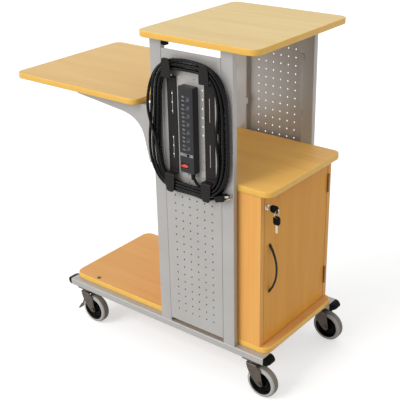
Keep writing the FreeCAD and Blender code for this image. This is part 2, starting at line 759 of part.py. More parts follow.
def build_handle():
    """Bow handle: an oval bar on one arc, flattened and widened where it meets the door."""
    half = handle_span / 2
    arc_radius = (half ** 2 + handle_bow ** 2) / (2 * handle_bow)
    centre_x_of_arc = cabinet_front + handle_bow - arc_radius
    end_angle = math.asin(half / arc_radius)
    last = end_angle + math.radians(handle_overrun)
    sections = []
    for i in range(handle_sections + 1):
        angle = last * (2 * i / handle_sections - 1)
        swell = min(1, abs(angle) / end_angle) ** handle_swell
        width = handle_mid_width + (handle_end_width - handle_mid_width) * swell
        thick = handle_mid_thick + (handle_end_thick - handle_mid_thick) * swell
        oval = Part.Ellipse(Vec(0, width / 2, 0), Vec(thick / 2, 0, 0), Vec(0, 0, 0)).toShape()
        oval.rotate(Vec(0, 0, 0), Vec(0, 1, 0), -math.degrees(angle))
        oval.translate(Vec(centre_x_of_arc + arc_radius * math.cos(angle), handle_y,
                           handle_z + arc_radius * math.sin(angle)))
        sections.append(Part.Wire([oval]))
    behind = block(door_back, cabinet_front, handle_y - board, handle_y + board,
                   handle_z - handle_span, handle_z + handle_span)
    keep("door_handle", Part.makeLoft(sections, True, True).cut(behind))


def key_shape():
    """Key with its blade along -X from the shoulder and its head along +X, hole at the head's far end."""
    half, shoulder, end = key_head_height / 2, key_shoulder_height / 2, key_end_height / 2
    upper = [(0, shoulder), (key_flank, half), (key_head_length - key_flank, half), (key_head_length, end)]
    outline = upper + [(px, -py) for px, py in reversed(upper)]
    wire = soft_loop([(Vec(px, py, -key_head_thick / 2), key_head_corner) for px, py in outline])
    head = Part.Face(wire).extrude(Vec(0, 0, key_head_thick))
    hole_x = key_head_length - key_hole_inset
    head = head.cut(rod(key_hole_radius, (hole_x, 0, -key_head_thick), (hole_x, 0, key_head_thick)))
    blade = block(-key_blade_length, 0, -key_blade_height / 2, key_blade_height / 2,
                  -key_blade_thick / 2, key_blade_thick / 2)
    key = head.fuse(blade).removeSplitter()
    key.rotate(Vec(0, 0, 0), Vec(1, 0, 0), 90)
    return key


def build_lock():
    """Cam lock in the door, its key, and a spare key on a ring."""
    face = cabinet_front
    body = rod(lock_body_radius, (door_back, lock_y, lock_z), (face, lock_y, lock_z))
    bezel = Part.makeCone(lock_bezel_radius, lock_bezel_radius - lock_bezel_height / 2, lock_bezel_height,
                          Vec(face, lock_y, lock_z), Vec(1, 0, 0))
    bore = rod(lock_plug_radius + running_clearance, (door_back, lock_y, lock_z),
               (face + lock_bezel_height, lock_y, lock_z))
    keep("lock_barrel", body.fuse(bezel).removeSplitter().cut(bore))

    plug_front = face + lock_bezel_height + lock_plug_proud
    plug = rod(lock_plug_radius, (cam_x, lock_y, lock_z), (plug_front, lock_y, lock_z))
    arm = block(cam_x, cam_x + cam_sheet, lock_y - cam_half_width, lock_y + cam_half_width,
                lock_z - cam_reach, lock_z)
    slot_back = plug_front - (key_blade_length - key_neck) - running_clearance
    slot_y = key_blade_thick / 2 + running_clearance
    slot_z = key_blade_height / 2 + running_clearance
    slot = block(slot_back, plug_front, lock_y - slot_y, lock_y + slot_y, lock_z - slot_z, lock_z + slot_z)
    keep("lock_plug", plug.fuse(arm).removeSplitter().cut(slot))

    head_x = plug_front + key_neck
    hole_x = head_x + key_head_length - key_hole_inset
    keep("key", moved(key_shape(), head_x, lock_y, lock_z))

    hang = key_hole_radius - ring_wire - ring_play
    ring_z = lock_z - hang - ring_radius
    key_ring = Part.makeTorus(ring_radius, ring_wire, Vec(hole_x, lock_y, ring_z), Vec(1, 0, 0))
    spare = key_shape()
    spare.rotate(Vec(0, 0, 0), Vec(0, 1, 0), -90)
    spare_hole_z = ring_z - ring_radius - hang
    spare = moved(spare, hole_x, lock_y, spare_hole_z - (key_head_length - key_hole_inset))
    keep("spare_key", spare, key_ring)


# ---------------------------------------------------------------- cord wrap and power strip
bracket_mid_z = rail_top + bracket_level
plate_face = outer_y + bracket_sheet           # outer face of the brackets' back plates, from y = 0
tab_back = outer_y + bracket_reach - bracket_sheet


def cord_bracket(x):
    """Bent strip: a back plate with two slots, and at each end an arm that turns up into a rounded tab."""
    half, rise, sheet = bracket_width / 2, bracket_height / 2, bracket_sheet
    outside, inside = bracket_bend, bracket_bend - bracket_sheet
    tip = rise + bracket_tab
    side = [((0, 0), 0), ((sheet, 0), 0), ((sheet, rise - sheet), inside),
            ((bracket_reach, rise - sheet), outside), ((bracket_reach, tip), 0),
            ((bracket_reach - sheet, tip), 0), ((bracket_reach - sheet, rise), inside), ((0, rise), outside)]
    strip = Part.Face(soft_loop([(Vec(-half, -out, up), radius) for (out, up), radius in side]))
    strip = strip.extrude(Vec(bracket_width, 0, 0))
    shoulder, end = rise + bracket_tab / 3, bracket_tip_width / 2
    front = [((-half, 0), 0), ((half, 0), 0), ((half, shoulder), 0), ((end, tip), bracket_tip_radius),
             ((-end, tip), bracket_tip_radius), ((-half, shoulder), 0)]
    outline = Part.Face(soft_loop([(Vec(across, 0, up), radius) for (across, up), radius in front]))
    hook = strip.common(outline.extrude(Vec(0, -bracket_reach, 0)))
    slot_end = bracket_slot_length / 2 - bracket_slot_width / 2
    cutter = block(-bracket_slot_width / 2, bracket_slot_width / 2, 0, -sheet,
                   bracket_slot_offset - slot_end, bracket_slot_offset + slot_end)
    for up in (bracket_slot_offset - slot_end, bracket_slot_offset + slot_end):
        cutter = cutter.fuse(rod(bracket_slot_width / 2, (0, 0, up), (0, -sheet, up)))
    hook = hook.cut(cutter)
    bracket = hook.fuse(hook.mirror(Vec(0, 0, 0), Vec(0, 0, 1))).removeSplitter()
    return moved(bracket, x, -outer_y, bracket_mid_z)


def build_cord_wrap():
    """Left and right brackets on the near panel."""
    for name, way in (("left", -1), ("right", 1)):
        keep("cord_bracket_" + name, cord_bracket(way * bracket_spacing / 2))


strip_face = outer_y + strip_depth
strip_top = bracket_mid_z + strip_length / 2
strip_low = bracket_mid_z - strip_length / 2
rocker_z = strip_low + rocker_from_end
breaker_z = strip_low + breaker_from_end


def build_power_strip():
    """Housing with outlet inserts, a rocker switch and a breaker button."""
    half = strip_width / 2
    housing = block(-half, half, -strip_face, -outer_y, strip_low, strip_top)
    back_edges = [edge for edge in housing.Edges if edge.BoundBox.YMin > -outer_y - strip_corner]
    housing = housing.makeFillet(strip_corner, [edge for edge in housing.Edges if not
                                                any(edge.isSame(back) for back in back_edges)])
    inserts = []
    for i in range(outlet_count):
        z = strip_top - outlet_first - i * outlet_pitch
        corners = [(-1, -1), (1, -1), (1, 1), (-1, 1)]
        pocket = Part.Face(soft_loop([(Vec(px * outlet_width / 2, -strip_face, z + pz * outlet_height / 2),
                                       outlet_corner) for px, pz in corners]))
        pocket = pocket.extrude(Vec(0, outlet_recess, 0))
        housing = housing.cut(pocket)
        insert = pocket.copy()
        for side in (-1, 1):
            slot_z = z + side * blade_spacing / 2
            insert = insert.cut(block(-blade_slot_height / 2, blade_slot_height / 2, -strip_face,
                                      -strip_face + slot_depth, slot_z - blade_slot_width / 2,
                                      slot_z + blade_slot_width / 2))
        x = ground_offset + blade_slot_height / 2
        insert = insert.cut(rod(ground_radius, (x, -strip_face, z), (x, -strip_face + slot_depth, z)))
        inserts.append(insert)
    keep("outlet_inserts", *inserts)

    gap = rocker_clearance
    left, right = rocker_offset - rocker_width / 2, rocker_offset + rocker_width / 2
    low, high = rocker_z - rocker_height / 2, rocker_z + rocker_height / 2
    housing = housing.cut(block(left - gap, right + gap, -strip_face, -strip_face + rocker_pocket,
                                low - gap, high + gap))
    pivot_y = -strip_face + rocker_pivot_depth
    reach = rocker_width / 2
    crown = rocker_pivot_depth + rocker_rise
    horn = crown + reach * math.tan(math.radians(rocker_tilt))
    keel = rocker_pocket - rocker_pivot_depth - 2 * gap
    profile = [(0, crown), (reach, horn), (reach, 0), (reach / 3, -keel),
               (-reach / 3, -keel), (-reach, 0), (-reach, horn)]
    wire = loop([(rocker_offset + along, pivot_y - out, low) for along, out in profile])
    rocker = Part.Face(wire).extrude(Vec(0, 0, rocker_height))
    pin_reach = gap + rocker_pin_length
    pin = rod(rocker_pin_radius, (rocker_offset, pivot_y, low - pin_reach),
              (rocker_offset, pivot_y, high + pin_reach))
    seat_reach = pin_reach + running_clearance
    seat = rod(rocker_pin_radius + running_clearance, (rocker_offset, pivot_y, low - seat_reach),
               (rocker_offset, pivot_y, high + seat_reach))
    housing = housing.cut(seat)
    rocker = rocker.fuse(pin).removeSplitter()
    rocker.rotate(Vec(rocker_offset, pivot_y, rocker_z), Vec(0, 0, 1), rocker_tilt)
    keep("rocker_switch", rocker)

    start = (breaker_offset, -strip_face, breaker_z)
    pocket_end = (breaker_offset, -strip_face + breaker_pocket, breaker_z)
    housing = housing.cut(rod(breaker_radius + body_gap, start, pocket_end))
    button = rod(breaker_radius, (start[0], -strip_face - breaker_height, start[2]),
                 (start[0], -strip_face + breaker_pocket - 2 * breaker_height, start[2]))
    keep("breaker_button", button)
    keep("power_strip_housing", housing)


# ---------------------------------------------------------------- cord
channel_mid = (plate_face + tab_back) / 2
coil_mid_z = bracket_mid_z + coil_sag
coil_low = coil_mid_z - coil_outer_height / 2
tail_route = ((22.0, 7.5), (60.0, 0.0), (92.0, 11.0))    # x, and height above the coil's lowest point


def build_coil():
    """Strain relief, short lead, and the wound coil as one closed ring in the brackets' hooks."""
    y = -channel_mid
    keep("strain_relief", Part.makeCone(relief_root_radius, relief_tip_radius, relief_length,
                                        Vec(cord_side, y, strip_low), Vec(0, 0, -1)))
    half_w, half_h = coil_outer_width / 2, coil_outer_height / 2
    hole_w, hole_h = coil_inner_width / 2, coil_inner_height / 2
    outer = rounded_loop(-half_w, half_w, -half_h, half_h, 0, coil_outer_corner)
    inner = rounded_loop(-hole_w, hole_w, -hole_h - coil_sag, hole_h - coil_sag, 0, coil_inner_corner)
    coil = pierced_face(outer, [inner]).extrude(Vec(0, 0, tab_back - plate_face - 2 * coil_clearance))
    coil.rotate(Vec(0, 0, 0), Vec(1, 0, 0), 90)
    keep("cord_coil", moved(coil, 0, -plate_face - coil_clearance, coil_mid_z))
    keep("cord_lead", rod(cord_radius, (cord_side, y, strip_low - relief_length),
                          (cord_side, y, bracket_mid_z - hole_h)))


def rounded_route(points, share=0.45):
    """Path of straight runs joined by tangent arcs; prints each arc's radius."""
    edges, start = [], points[0]
    for before, corner, after in zip(points, points[1:], points[2:]):
        run_in, run_out = corner - before, after - corner
        trim = share * min(run_in.Length, run_out.Length)
        turn = run_in.getAngle(run_out)
        arc_start = corner - run_in.normalize() * trim
        arc_end = corner + run_out.normalize() * trim
        radius = trim / math.tan(turn / 2)
        print("cord arc radius", round(radius, 1))
        bisector = (arc_start + arc_end) * 0.5 - corner
        centre_distance = math.hypot(radius, trim)
        through = corner + bisector.normalize() * (centre_distance - radius)
        edges += [Part.makeLine(start, arc_start), Part.Arc(arc_start, through, arc_end).toShape()]
        start = arc_end
    edges.append(Part.makeLine(start, points[-1]))
    return Part.Wire(edges)


def build_tail():
    """End of the cord, from the coil's lower edge to its moulded plug with three pins."""
    points = [Vec(x, -channel_mid, coil_low + rise) for x, rise in tail_route]
    path = rounded_route(points)
    section = Part.Wire([Part.Circle(points[0], points[1] - points[0], cord_radius).toShape()])
    tail = path.makePipeShell([section], True, True)
    expected = math.pi * cord_radius ** 2 * path.Length
    print("cord tail volume over section times length", round(tail.Volume / expected, 4))
    keep("cord_tail", tail)

    neck = Part.makeCone(relief_tip_radius, plug_neck_radius, plug_neck, Vec(0, 0, 0), Vec(1, 0, 0))
    body = block(plug_neck, plug_neck + plug_length, -plug_width / 2, plug_width / 2,
                 -plug_height / 2, plug_height / 2)
    body = body.makeFillet(plug_corner, body.Edges)
    face = plug_neck + plug_length
    pins = [block(face - plug_corner, face + blade_length, side * blade_spacing / 2 - blade_thick / 2,
                  side * blade_spacing / 2 + blade_thick / 2, plug_blade_rise - blade_height / 2,
                  plug_blade_rise + blade_height / 2) for side in (-1, 1)]
    pins.append(rod(ground_pin_radius, (face - plug_corner, 0, -plug_ground_drop),
                    (face + blade_length, 0, -plug_ground_drop)))
    plug = neck.fuse([body] + pins).removeSplitter()
    run = points[-1] - points[-2]
    plug.rotate(Vec(0, 0, 0), Vec(0, -1, 0), math.degrees(math.atan2(run.z, run.x)))
    plug.translate(points[-1])
    keep("plug", plug)


build_base()
build_casters()
build_shelves()
build_towers()
build_gussets()
build_cabinet()
build_hinges()
build_handle()
build_lock()
build_cord_wrap()
build_power_strip()
build_coil()
build_tail()

os.makedirs("parts", exist_ok=True)
for name, shape in pieces.items():
    placed = moved(shape, -centre_x)
    placed.exportStep(os.path.join("parts", name + ".step"))
print(len(pieces), "sub-parts written")
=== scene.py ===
"""Looks of a mobile lectern stand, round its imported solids.  Metres; +Z up, near side -Y, door end +X."""
import json
import math
import bmesh
import bpy
import numpy as np
from mathutils import Matrix, Vector

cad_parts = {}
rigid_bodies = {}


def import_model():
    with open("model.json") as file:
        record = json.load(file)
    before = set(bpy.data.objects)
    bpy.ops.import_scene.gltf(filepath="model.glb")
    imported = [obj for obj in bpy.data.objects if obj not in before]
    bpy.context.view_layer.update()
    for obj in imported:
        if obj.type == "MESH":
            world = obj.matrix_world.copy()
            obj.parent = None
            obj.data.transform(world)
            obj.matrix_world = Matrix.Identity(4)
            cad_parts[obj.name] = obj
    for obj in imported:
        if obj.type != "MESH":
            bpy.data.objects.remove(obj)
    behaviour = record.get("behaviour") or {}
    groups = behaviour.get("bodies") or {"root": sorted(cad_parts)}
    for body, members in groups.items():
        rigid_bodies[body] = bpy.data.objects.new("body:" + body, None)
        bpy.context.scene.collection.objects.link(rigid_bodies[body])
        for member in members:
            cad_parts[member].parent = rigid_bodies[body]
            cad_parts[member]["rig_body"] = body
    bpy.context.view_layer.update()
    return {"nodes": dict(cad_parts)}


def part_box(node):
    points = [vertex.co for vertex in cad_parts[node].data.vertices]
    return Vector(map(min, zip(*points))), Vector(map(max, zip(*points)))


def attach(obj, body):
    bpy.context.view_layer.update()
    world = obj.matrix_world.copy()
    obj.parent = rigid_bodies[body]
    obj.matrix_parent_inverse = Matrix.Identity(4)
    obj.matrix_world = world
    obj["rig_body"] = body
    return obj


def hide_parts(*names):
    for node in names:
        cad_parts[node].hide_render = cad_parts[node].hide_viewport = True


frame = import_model()

# ---------------------------------------------------------------- floor rails and cross tubes
# Rectangular mild steel tube, 46 x 25 mm, sawn, welded into a floor frame and sprayed with silver-grey
# polyester powder.  The oven leaves a satin skin with a faint orange peel.
mm = 0.001
merge_reach, flat_angle, edge_angle = 1e-6, math.radians(0.5), math.radians(40)


def linear(code):
    """sRGB hex to linear RGBA: c / 12.92 up to 0.04045, above it ((c + 0.055) / 1.055) to the power 2.4."""
    c = np.array([int(code[i:i + 2], 16) for i in (1, 3, 5)]) / 255
    return (*np.where(c <= 0.04045, c / 12.92, ((c + 0.055) / 1.055) ** 2.4).tolist(), 1.0)


def material(name, **sockets):
    """New material; its shader's constants go straight on the sockets named (spaces written as _)."""
    made = bpy.data.materials.new(name)
    made.use_nodes = True
    shader = made.node_tree.nodes["Principled BSDF"]
    for key, value in sockets.items():
        shader.inputs[key.replace("_", " ")].default_value = value
    return made, made.node_tree, shader


def add(tree, kind, settings=None, sockets=None):
    """One node with its settings, and its inputs by name or number: a value, or an output to link."""
    made = tree.nodes.new("ShaderNode" + kind)
    for key, value in (settings or {}).items():
        setattr(made, key, value)
    for key, value in (sockets or {}).items():
        if isinstance(value, bpy.types.NodeSocket):
            tree.links.new(value, made.inputs[key])
        else:
            made.inputs[key].default_value = value
    return made


def dressed(node, coat, edge=0.6 * mm, joined=False, apart=None):
    """Copy of a solid: loose triangles merged, joined into flat faces as well if `joined`, and edges over
    edge_angle rounded by `edge`.  Triangles whose points (3, 3) `apart` picks out are merged by themselves,
    since they belong to a second solid that touches the first."""
    source = frame["nodes"][node]
    work = bmesh.new()
    work.from_mesh(source.data)
    picked = [face for face in work.faces if apart and apart(np.array([vert.co for vert in face.verts]))]
    own = {vert.index for face in picked for vert in face.verts}
    # Both groups in the mesh's own order, so that every run merges alike.
    groups = [[vert for vert in work.verts if (vert.index in own) == alone] for alone in (True, False)]
    for group in groups:
        bmesh.ops.remove_doubles(work, verts=group, dist=merge_reach)
    if joined:
        bmesh.ops.dissolve_limit(work, angle_limit=flat_angle, verts=work.verts, edges=work.edges)
    mesh = bpy.data.meshes.new(node + "_shape")
    work.to_mesh(mesh)
    work.free()
    if "custom_normal" in mesh.attributes:
        mesh.attributes.remove(mesh.attributes["custom_normal"])
    mesh.materials.clear()
    mesh.materials.append(coat)
    mesh.shade_smooth()
    piece = bpy.data.objects.new(node + "_finished", mesh)
    bpy.context.scene.collection.objects.link(piece)
    rounding = piece.modifiers.new("eased edges", "BEVEL")
    rounding.width, rounding.segments, rounding.limit_method = edge, 2, "ANGLE"
    rounding.angle_limit, rounding.harden_normals = edge_angle, True
    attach(piece, source["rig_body"])
    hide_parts(node)
    return piece


# Polyester powder coat on steel, silver grey: satin, with a 1.5 mm orange peel and a faint mottle.
powder_coat, tree, shader = material("powder_coated_steel", Metallic=0.3, Roughness=0.38)
place = add(tree, "TexCoord")
mottle = add(tree, "TexNoise", None, {"Vector": place.outputs["Object"], "Scale": 1 / 0.09, "Detail": 3.0})
peel = add(tree, "TexNoise", None, {"Vector": place.outputs["Object"], "Scale": 1 / 0.0015, "Detail": 1.0})
tint = add(tree, "Mix", {"data_type": "RGBA"}, {0: mottle.outputs["Fac"], 6: linear("#ABA8A4"),
                                                7: linear("#B6B4B1")})
tree.links.new(tint.outputs[2], shader.inputs["Base Color"])
bumps = add(tree, "Bump", None, {"Height": peel.outputs["Fac"], "Strength": 0.25, "Distance": 0.05 * mm})
tree.links.new(bumps.outputs["Normal"], shader.inputs["Normal"])

for node in ("near_rail", "far_rail", "cross_tubes"):
    dressed(node, powder_coat)

# ---------------------------------------------------------------- rail end caps
# Four moulded nylon caps tapped into the rails' ends.  Each nose swells out of the rail's rectangle and
# draws in to a blunt tip, glossy black from a polished mould.
nose_length, nose_inset, nose_corner = 24 * mm, 11 * mm, 3 * mm
corner_turn = np.linspace(0, np.pi / 2, 9)
corner_angle = np.concatenate([corner_turn + quarter * np.pi / 2 for quarter in range(4)])
corner_out = np.stack([np.cos(corner_angle), np.sin(corner_angle)], -1)
corner_way = np.repeat([[1, 1], [-1, 1], [-1, -1], [1, -1]], len(corner_turn), 0)


def rounded_rectangle(half, radius):
    """Points anticlockwise round a rectangle about the origin whose corners are quarter circles: each point
    is a corner's centre, half the size less the radius, plus the radius times the way out.  One rectangle
    for each row of half sizes (..., 2) and radii (...)."""
    half, radius = np.asarray(half)[..., None, :], np.asarray(radius)[..., None, None]
    return corner_way * (half - radius) + radius * corner_out


def skin(grid, wrap_rows=False, wrap_cols=False, ends=False):
    """Points and faces of a grid of points (rows, columns, 3): a quad between each four neighbours, going
    round where wrapped, and one flat face over the first and the last row if `ends`."""
    rows, cols = grid.shape[:2]
    i = np.arange(rows if wrap_rows else rows - 1)[:, None]
    j = np.arange(cols if wrap_cols else cols - 1)[None, :]
    a, b = i * cols + j, i * cols + (j + 1) % cols
    c, d = (i + 1) % rows * cols + (j + 1) % cols, (i + 1) % rows * cols + j
    faces = np.stack([a, b, c, d], -1).reshape(-1, 4).tolist()
    if ends:
        faces += [list(range(cols))[::-1], list(range((rows - 1) * cols, rows * cols))]
    return grid.reshape(-1, 3), faces


def piece_of(name, skins, coat, body, nodes, sharp=35):
    """One mesh from several skins, smooth but for edges over `sharp` degrees; it rides on a body and stands
    for the nodes."""
    points, faces, start = [], [], 0
    for skin_points, skin_faces in skins:
        points.append(skin_points)
        faces += [[start + k for k in face] for face in skin_faces]
        start += len(skin_points)
    mesh = bpy.data.meshes.new(name + "_shape")
    mesh.from_pydata(np.concatenate(points), [], faces)
    work = bmesh.new()
    work.from_mesh(mesh)
    bmesh.ops.remove_doubles(work, verts=work.verts, dist=merge_reach)
    work.to_mesh(mesh)
    work.free()
    mesh.shade_smooth()
    mesh.set_sharp_from_angle(angle=math.radians(sharp))
    mesh.materials.append(coat)
    piece = bpy.data.objects.new(name, mesh)
    bpy.context.scene.collection.objects.link(piece)
    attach(piece, body)
    if nodes:
        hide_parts(*nodes)
    return piece


def uneven(tree, shader, patch, low, high):
    """Shine that wanders between two roughnesses over patches of a size, as handled or plated skins have."""
    place = add(tree, "TexCoord").outputs["Object"]
    cloud = add(tree, "TexNoise", None, {"Vector": place, "Scale": 1 / patch, "Detail": 3.0})
    spread = add(tree, "MapRange", None, {"Value": cloud.outputs["Fac"], "From Min": 0.35, "From Max": 0.65,
                                          "To Min": low, "To Max": high})
    tree.links.new(spread.outputs[0], shader.inputs["Roughness"])


# Nylon 6, injection moulded and black: a clean gloss with soft highlights.
black_nylon, tree, shader = material("black_moulded_nylon", Base_Color=linear("#050505"), Roughness=0.24,
                                     Specular_IOR_Level=0.07)
uneven(tree, shader, 8 * mm, 0.21, 0.27)
cap_skins = []
dome = np.linspace(0, np.pi / 2, 13)
inset = nose_inset * (1 - np.cos(dome))
for rail in ("near_rail", "far_rail"):
    low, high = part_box(rail)
    half = np.array([high.y - low.y, high.z - low.z]) / 2 - inset[:, None]
    outline = rounded_rectangle(half, np.minimum(nose_corner + inset, half[:, 1] - 0.1 * mm))
    for way, end in ((1, high.x), (-1, low.x)):
        along = (end + way * nose_length * np.sin(dome))[:, None, None]
        along = np.broadcast_to(along, (*outline.shape[:2], 1))
        grid = np.concatenate([along, outline + [(low.y + high.y) / 2, (low.z + high.z) / 2]], -1)
        cap_skins.append(skin(grid[::way], wrap_cols=True, ends=True))
piece_of("rail_noses", cap_skins, black_nylon, "root", ["rail_end_caps"], 75)

# ---------------------------------------------------------------- casters
# Four swivel casters: pressed and zinc-plated steel forks under a ball race, black nylon hubs, and grey
# thermoplastic rubber treads moulded on.  The two at the side shelf's end have a foot brake.
wheel_radius, tread_depth, tread_half, tread_round = 54 * mm, 12 * mm, 16 * mm, 9 * mm
wheel_turns = np.linspace(0, 2 * np.pi, 64, endpoint=False)


def turned(profile, centre):
    """Closed profile of (offset along Y, radius) turned about the wheel's axle through the centre."""
    offset, radius = np.array(profile).T
    return np.stack([centre[0] + radius[:, None] * np.cos(wheel_turns),
                     np.broadcast_to(centre[1] + offset[:, None], (len(offset), len(wheel_turns))),
                     centre[2] + radius[:, None] * np.sin(wheel_turns)], -1)


# Zinc plate under a dark passivate: brownish, half bright, faintly streaked by the bath.
zinc, tree, shader = material("passivated_zinc_steel", Metallic=0.6, Roughness=0.4)
place = add(tree, "TexCoord")
cloud = add(tree, "TexNoise", None, {"Vector": place.outputs["Object"], "Scale": 1 / 0.018, "Detail": 4.0})
tint = add(tree, "Mix", {"data_type": "RGBA"}, {0: cloud.outputs["Fac"], 6: linear("#453C35"),
                                                7: linear("#675E56")})
tree.links.new(tint.outputs[2], shader.inputs["Base Color"])

# Thermoplastic rubber, pale grey and non-marking: dull, clean on its sides and browned where it runs.
grey_tread, tree, shader = material("grey_rubber_tread", Roughness=0.6, Specular_IOR_Level=0.3)
place = add(tree, "TexCoord")
dust = add(tree, "TexNoise", None, {"Vector": place.outputs["Object"], "Scale": 1 / 0.006, "Detail": 5.0})
clean = add(tree, "Mix", {"data_type": "RGBA"}, {0: dust.outputs["Fac"], 6: linear("#A9A5A1"),
                                                 7: linear("#BAB7B4")})
run = add(tree, "Mix", {"data_type": "RGBA"}, {0: dust.outputs["Fac"], 6: linear("#746E63"),
                                               7: linear("#8B8579")})
facing = add(tree, "SeparateXYZ", None, {0: place.outputs["Normal"]})
level = add(tree, "Math", {"operation": "ABSOLUTE"}, {0: facing.outputs["Y"]})
share = add(tree, "MapRange", None, {"Value": level.outputs[0], "From Min": 0.2, "From Max": 0.6})
tint = add(tree, "Mix", {"data_type": "RGBA"}, {0: share.outputs[0], 6: run.outputs[2], 7: clean.outputs[2]})
tree.links.new(tint.outputs[2], shader.inputs["Base Color"])

head_reach, hole_reach, leg_sheet = 7.1 * mm, 4.05 * mm, 3 * mm


def axle_bolt(points):
    """Whether a triangle about the axle's middle lies on the bolt: within the head's reach, and not on the
    wall of the hole, which runs across one leg's sheet only."""
    reach = np.hypot(points[:, 0], points[:, 2]).max()
    return reach < head_reach and not (reach < hole_reach and np.ptp(points[:, 1]) < 2 * leg_sheet)


# Half a hub's section as (offset, radius): rim, sloping side, disc, raised ring, disc, boss and bore.
hub_side = np.array([[15, 42], [15, 38.8], [14.2, 38], [5.2, 34.6], [4.5, 33.8], [4.5, 28.5], [6, 28.1],
                     [7.5, 27], [7.5, 25], [6, 23.9], [4.5, 23.5], [4.5, 17], [6, 15.6], [14, 13],
                     [16.6, 12], [17.3, 11.3], [17.3, 4.1]]) * mm
for corner in ("near_left", "near_right", "far_left", "far_right"):
    low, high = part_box("caster_tyre_" + corner)
    centre = tuple((low + high) / 2)
    turn = np.linspace(0, np.pi / 2, 7)
    seat = wheel_radius - tread_depth
    shoulder = np.stack([tread_half - tread_round * (1 - np.cos(turn)),
                         wheel_radius - tread_round * (1 - np.sin(turn))], -1)
    tread = np.concatenate([[[-tread_half, seat], [tread_half, seat]], shoulder, shoulder[::-1] * [-1, 1]])
    piece_of("tread_" + corner, [skin(turned(tread, centre), True, True)], grey_tread,
             "wheel_" + corner, ["caster_tyre_" + corner])
    hub = np.concatenate([hub_side, hub_side[::-1] * [-1, 1]])
    piece_of("hub_" + corner, [skin(turned(hub, centre), True, True)], black_nylon,
             "wheel_" + corner, ["caster_hub_" + corner])
    dressed("caster_fork_" + corner, zinc, 0.7 * mm, True, lambda points: axle_bolt(points - centre))
dressed("caster_heads", zinc)
for pedal in ("brake_pedal_near_left", "brake_pedal_far_left"):
    dressed(pedal, zinc, 0.8 * mm)

# ---------------------------------------------------------------- shelves
# Four boards of 19 mm particle board faced with printed maple laminate, and 2 mm PVC banding glued round
# their edges and routed round.  The banding's plain colour is a stronger yellow than the faces.
band_width, band_edge = 2 * mm, 1.8 * mm


def carried(points, normals, profile):
    """Closed outline (n, 2) with outward normals, carried up a profile of (inset, height): each row is the
    outline moved inwards by the inset, at that height."""
    inset, height = np.array(profile).T
    flat = points[None] - normals[None] * inset[:, None, None]
    level = np.broadcast_to(height[:, None, None], (*flat.shape[:2], 1))
    return np.concatenate([flat, level], -1)


def eased(low, high, radius, steps=4):
    """Profile of (inset, height) up a wall whose lower and upper edges are quarter circles of a radius."""
    turn = np.linspace(0, np.pi / 2, steps + 1)
    lower = np.stack([radius * (1 - np.sin(turn)), low + radius * (1 - np.cos(turn))], -1)
    return np.concatenate([lower, np.stack([lower[::-1, 0], low + high - lower[::-1, 1]], -1)])


def laminate(name, dark, light, along, roughness=0.46):
    """Printed maple: streaks 3 mm wide and 160 mm long over a figure 45 mm wide, running along an axis."""
    made, tree, shader = material(name, Roughness=roughness, Specular_IOR_Level=0.3)
    place = add(tree, "TexCoord").outputs["Object"]
    fine = [1 / 0.003] * 3
    broad = [1 / 0.045] * 3
    fine[along], broad[along] = 1 / 0.16, 1 / 0.6
    streak = add(tree, "Mapping", None, {"Vector": place, "Scale": fine})
    figure = add(tree, "Mapping", None, {"Vector": place, "Scale": broad})
    streaks = add(tree, "TexNoise", None, {"Vector": streak.outputs[0], "Scale": 1.0, "Detail": 3.0})
    figures = add(tree, "TexNoise", None, {"Vector": figure.outputs[0], "Scale": 1.0, "Detail": 2.0})
    both = add(tree, "Mix", {"data_type": "FLOAT"}, {0: 0.45, 2: streaks.outputs["Fac"],
                                                     3: figures.outputs["Fac"]})
    spread = add(tree, "MapRange", None, {"Value": both.outputs[0], "From Min": 0.36, "From Max": 0.64})
    tint = add(tree, "Mix", {"data_type": "RGBA"}, {0: spread.outputs[0], 6: linear(dark), 7: linear(light)})
    tree.links.new(tint.outputs[2], shader.inputs["Base Color"])
    bumps = add(tree, "Bump", None, {"Height": streaks.outputs["Fac"], "Strength": 0.2,
                                     "Distance": 0.03 * mm})
    tree.links.new(bumps.outputs["Normal"], shader.inputs["Normal"])
    return made


# Satin PVC banding: an even honey yellow, a little glossier than the faces it borders.
banding, tree, shader = material("pvc_edge_banding", Roughness=0.38)
place = add(tree, "TexCoord")
haze = add(tree, "TexNoise", None, {"Vector": place.outputs["Object"], "Scale": 1 / 0.05, "Detail": 2.0})
tint = add(tree, "Mix", {"data_type": "RGBA"}, {0: haze.outputs["Fac"], 6: linear("#EAB44C"),
                                                7: linear("#F5C35C")})
tree.links.new(tint.outputs[2], shader.inputs["Base Color"])

# One printed maple on all four boards, each board in its own tint as painted light and shade: the top paler
# with a painted sheen, the mid shelf painted much brighter to make up for the shade it sits in under the top
# shelf.
shelves = {"top_shelf": (30 * mm, laminate("maple_laminate_top", "#D4B678", "#DDC388", 0)),
           "side_shelf": (30 * mm, laminate("maple_laminate_side", "#D5AD67", "#DEB877", 0)),
           "mid_shelf": (30 * mm, laminate("maple_laminate_cabinet_top_painted_light", "#EDB75C", "#FAC56B", 0)),
           "bottom_shelf": (32 * mm, laminate("maple_laminate_deck", "#D79C54", "#DFA864", 0))}
for node, (radius, face) in shelves.items():
    low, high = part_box(node + "_edge_band")
    line = rounded_rectangle([(high.x - low.x) / 2, (high.y - low.y) / 2], radius)
    line += [(low.x + high.x) / 2, (low.y + high.y) / 2]
    wall = eased(low.z, high.z, band_edge)
    back = [[band_width, high.z], [band_width, low.z]]
    piece_of(node + "_banding", [skin(carried(line, corner_out, np.concatenate([wall, back])), True, True)],
             banding, "root", [node + "_edge_band"], 50)
    core = carried(line, corner_out, [[band_width, low.z], [band_width, high.z]])
    piece_of(node + "_board", [skin(core, wrap_cols=True, ends=True)], face, "root", [node])
dressed("deck_bolts", zinc, 0.4 * mm)

